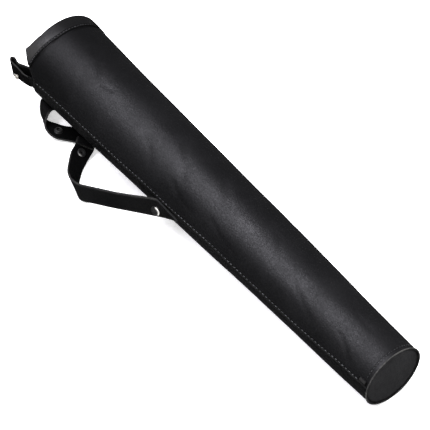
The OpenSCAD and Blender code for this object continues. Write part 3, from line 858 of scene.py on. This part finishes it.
# ---------------------------------------------------------------- stage
def build_stage():
    bpy.ops.mesh.primitive_grid_add(x_subdivisions=8, y_subdivisions=8, size=40)
    floor = bpy.context.object
    floor.name = "studio_floor"
    floor.location.z = -0.0004
    n = Nodes("studio_floor")
    tone = n.mix(n.fit(n.noise(3, 2), 0.3, 0.7, 0, 1), rgb(0.93, 0.93, 0.93), rgb(0.95, 0.95, 0.95))
    n.set(Base_Color=tone, Roughness=0.9, Specular_IOR_Level=0.1, Emission_Color=tone,
          Emission_Strength=0.55)
    floor.data.materials.append(n.material)
    floor.visible_glossy = False


def soft_light(name, towards, distance, size, power, target=(0, 0, 0.04), colour=(1, 1, 1)):
    """A rectangular light that faces the target, long side along x."""
    data = bpy.data.lights.new(name, "AREA")
    data.shape = "RECTANGLE"
    data.size, data.size_y = size
    data.energy = power
    data.color = colour
    lamp = bpy.data.objects.new(name, data)
    bpy.context.scene.collection.objects.link(lamp)
    towards = Vector(towards).normalized()
    lamp.location = Vector(target) + towards * distance
    side = (Vector((1, 0, 0)) - towards * towards.x).normalized()
    lamp.rotation_mode = "QUATERNION"
    turn = Matrix((side, towards.cross(side), towards)).transposed()
    lamp.rotation_quaternion = turn.to_quaternion()
    return lamp


def build_lights():
    world = bpy.data.worlds.new("studio")
    world.use_nodes = True
    world.node_tree.nodes["Background"].inputs[0].default_value = (1, 1, 1, 1)
    world.node_tree.nodes["Background"].inputs[1].default_value = 0.075
    bpy.context.scene.world = world
    bpy.context.scene.view_settings.view_transform = "Standard"
    soft_light("key", (-0.4, -0.29, 0.88), 2.2, (0.5, 1.7), 54, (0.21, 0, 0.04), (0.93, 0.915, 1))
    overhead = soft_light("overhead", (0.05, 0.1, 1), 3.0, (2.0, 2.0), 235)
    overhead.visible_glossy = False
    soft_light("front", (0.6, -0.7, 0.5), 2.6, (1.6, 1.0), 26)
    soft_light("back", (0.6, 0.75, 0.5), 2.6, (1.6, 1.0), 26)


def build_camera():
    azimuth, elevation, distance = math.radians(50.82), math.radians(50.30), 2.8
    target = Vector(metres([305.46, -8.69, 45.0]).tolist())
    back = Vector((math.sin(azimuth) * math.cos(elevation),
                   -math.cos(azimuth) * math.cos(elevation), math.sin(elevation)))
    data = bpy.data.cameras.new("camera")
    data.sensor_width = 36.0
    data.lens = 36.0 * 2448.5 / 430
    camera = bpy.data.objects.new("camera", data)
    bpy.context.scene.collection.objects.link(camera)
    camera.location = target + back * distance
    camera.rotation_mode = "QUATERNION"
    camera.rotation_quaternion = back.to_track_quat("Z", "Y")
    bpy.context.scene.camera = camera


def build_fasteners():
    """Caps, backs, the snap's socket and its stud, each turned in metal."""
    def cap(radius, height, base, post):
        profile = [[0.01, base - post], [1.5, base - post], [1.6, base - post + 0.2], [1.6, base],
                   [radius - 0.5, base], [radius - 0.15, base + 0.08], [radius, base + 0.3],
                   [radius - 0.05, base + 0.55]]
        for f in np.linspace(0.93, 0.05, 12):
            profile.append([radius * f, base + 0.55 + (height - 0.55) * (1 - f ** 2.4)])
        return profile + [[0.01, base + height]]

    def fitting(name, strap, u, w, profile, side, material, body, node, band):
        """One turned fitting; side 1 is the grain side, -1 the flesh side."""
        centre, x, y, z = strap.axes(u, w)
        turned_piece(name, profile, centre, (x, y * side, z * side), material, body, node,
                     band)

    def washer(base):
        return [[1.95, base + 0.5], [1.95, base], [4.3, base], [4.6, base + 0.25],
                [4.45, base + 0.6], [4, base + 0.85], [3.1, base + 0.9], [2.5, base + 0.8],
                [2.3, base + 0.5]]

    fitting("mouth_rivet_dome", LOOP, LOOP_RIVET_U, 0.28, cap(6.3, 2, 0.8, 4.6), 1, NICKEL,
            "mouth_loop", "mouth_rivet_cap", (6.1, 0.4))
    fitting("mouth_rivet_washer", LOOP, LOOP_RIVET_U, 0.28, washer(2.9), -1, NICKEL,
            "mouth_loop", "mouth_rivet_back", (4.4, 0.3))
    fitting("upper_snap_dome", UPPER, UPPER_SNAP_U, 0.5, cap(5.8, 1.4, 0.95, 2.4), 1, GUNMETAL,
            "upper_strap", "upper_snap_cap", (5.6, 0.4))
    socket = [[1.95, 0.95 + 0.8], [1.95, 0.95], [5.2, 0.95], [5.65, 1.1], [5.8, 1.4],
              [5.75, 1.75], [5.5, 1.95], [5, 2.05], [4.75, 2.3], [4.65, 2.7], [4.55, 3.3],
              [4.3, 3.75], [3.9, 4], [3.45, 4.05], [3.1, 3.9], [2.85, 3.6], [2.75, 3.1],
              [2.95, 2.6], [2.95, 1.95], [2.7, 1.8]]
    fitting("upper_snap_socket_ring", UPPER, UPPER_SNAP_U, 0.5, socket, -1, BLACKENED,
            "upper_strap", "upper_snap_socket", (3.7, 0.35))
    # Painted glint: a bright crescent on one side of the dark rivet dome
    fitting("lower_rivet_dome", LOWER, LOWER_RIVET_U, 0.3, cap(6.3, 2, 0.95, 4.2), 1, BLACK_GLINT_METAL,
            "lower_strap", "lower_rivet_cap", (5.7, 0.9, np.array([0.85, 0.0, 0.5])))
    fitting("lower_rivet_washer", LOWER, LOWER_RIVET_U, 0.3, washer(2.5), -1, NICKEL,
            "lower_strap", "lower_rivet_back", (4.4, 0.3))
    stud = [[1.95, 0.95 + 3], [1.95, 0.95], [4.9, 0.95], [5.15, 1.05], [5.2, 1.3], [5.05, 1.6],
            [4.7, 1.75], [3.2, 1.85], [2.75, 2], [2.45, 2.3], [2.4, 2.6], [2.55, 2.95],
            [2.8, 3.25], [2.8, 3.5], [2.6, 3.8], [2.25, 3.95]]
    fitting("lower_snap_stud_post", LOWER, LOWER_SNAP_U, 0.5, stud, 1, GUNMETAL, "lower_strap",
            "lower_snap_stud", (2.7, 0.3))
    eyelet = [[1.1, -2.65], [1.85, -2.65], [1.85, 0.95], [5.1, 0.95], [5.5, 1.05], [5.7, 1.35],
              [5.6, 1.75], [5.1, 2.1], [4.4, 2.25], [3.6, 2.15], [2.9, 1.75], [2.3, 1.45],
              [1.7, 1.3], [1.2, 1.2], [1.1, 0.95]]
    # Painted glint: a bright crescent on one side of the dark eyelet ring
    fitting("lower_snap_eyelet_ring", LOWER, LOWER_SNAP_U, 0.5, eyelet, -1, BLACK_GLINT_METAL,
            "lower_strap", "lower_snap_eyelet",
            (4.6, 0.9, np.array([0.0, -0.9, -0.45])))


build_camera()
build_stage()
build_lights()
build_tube()
build_band()
build_stitching()
build_seam_end()
build_base()
build_loop()
build_upper()
build_lower()
build_fasteners()
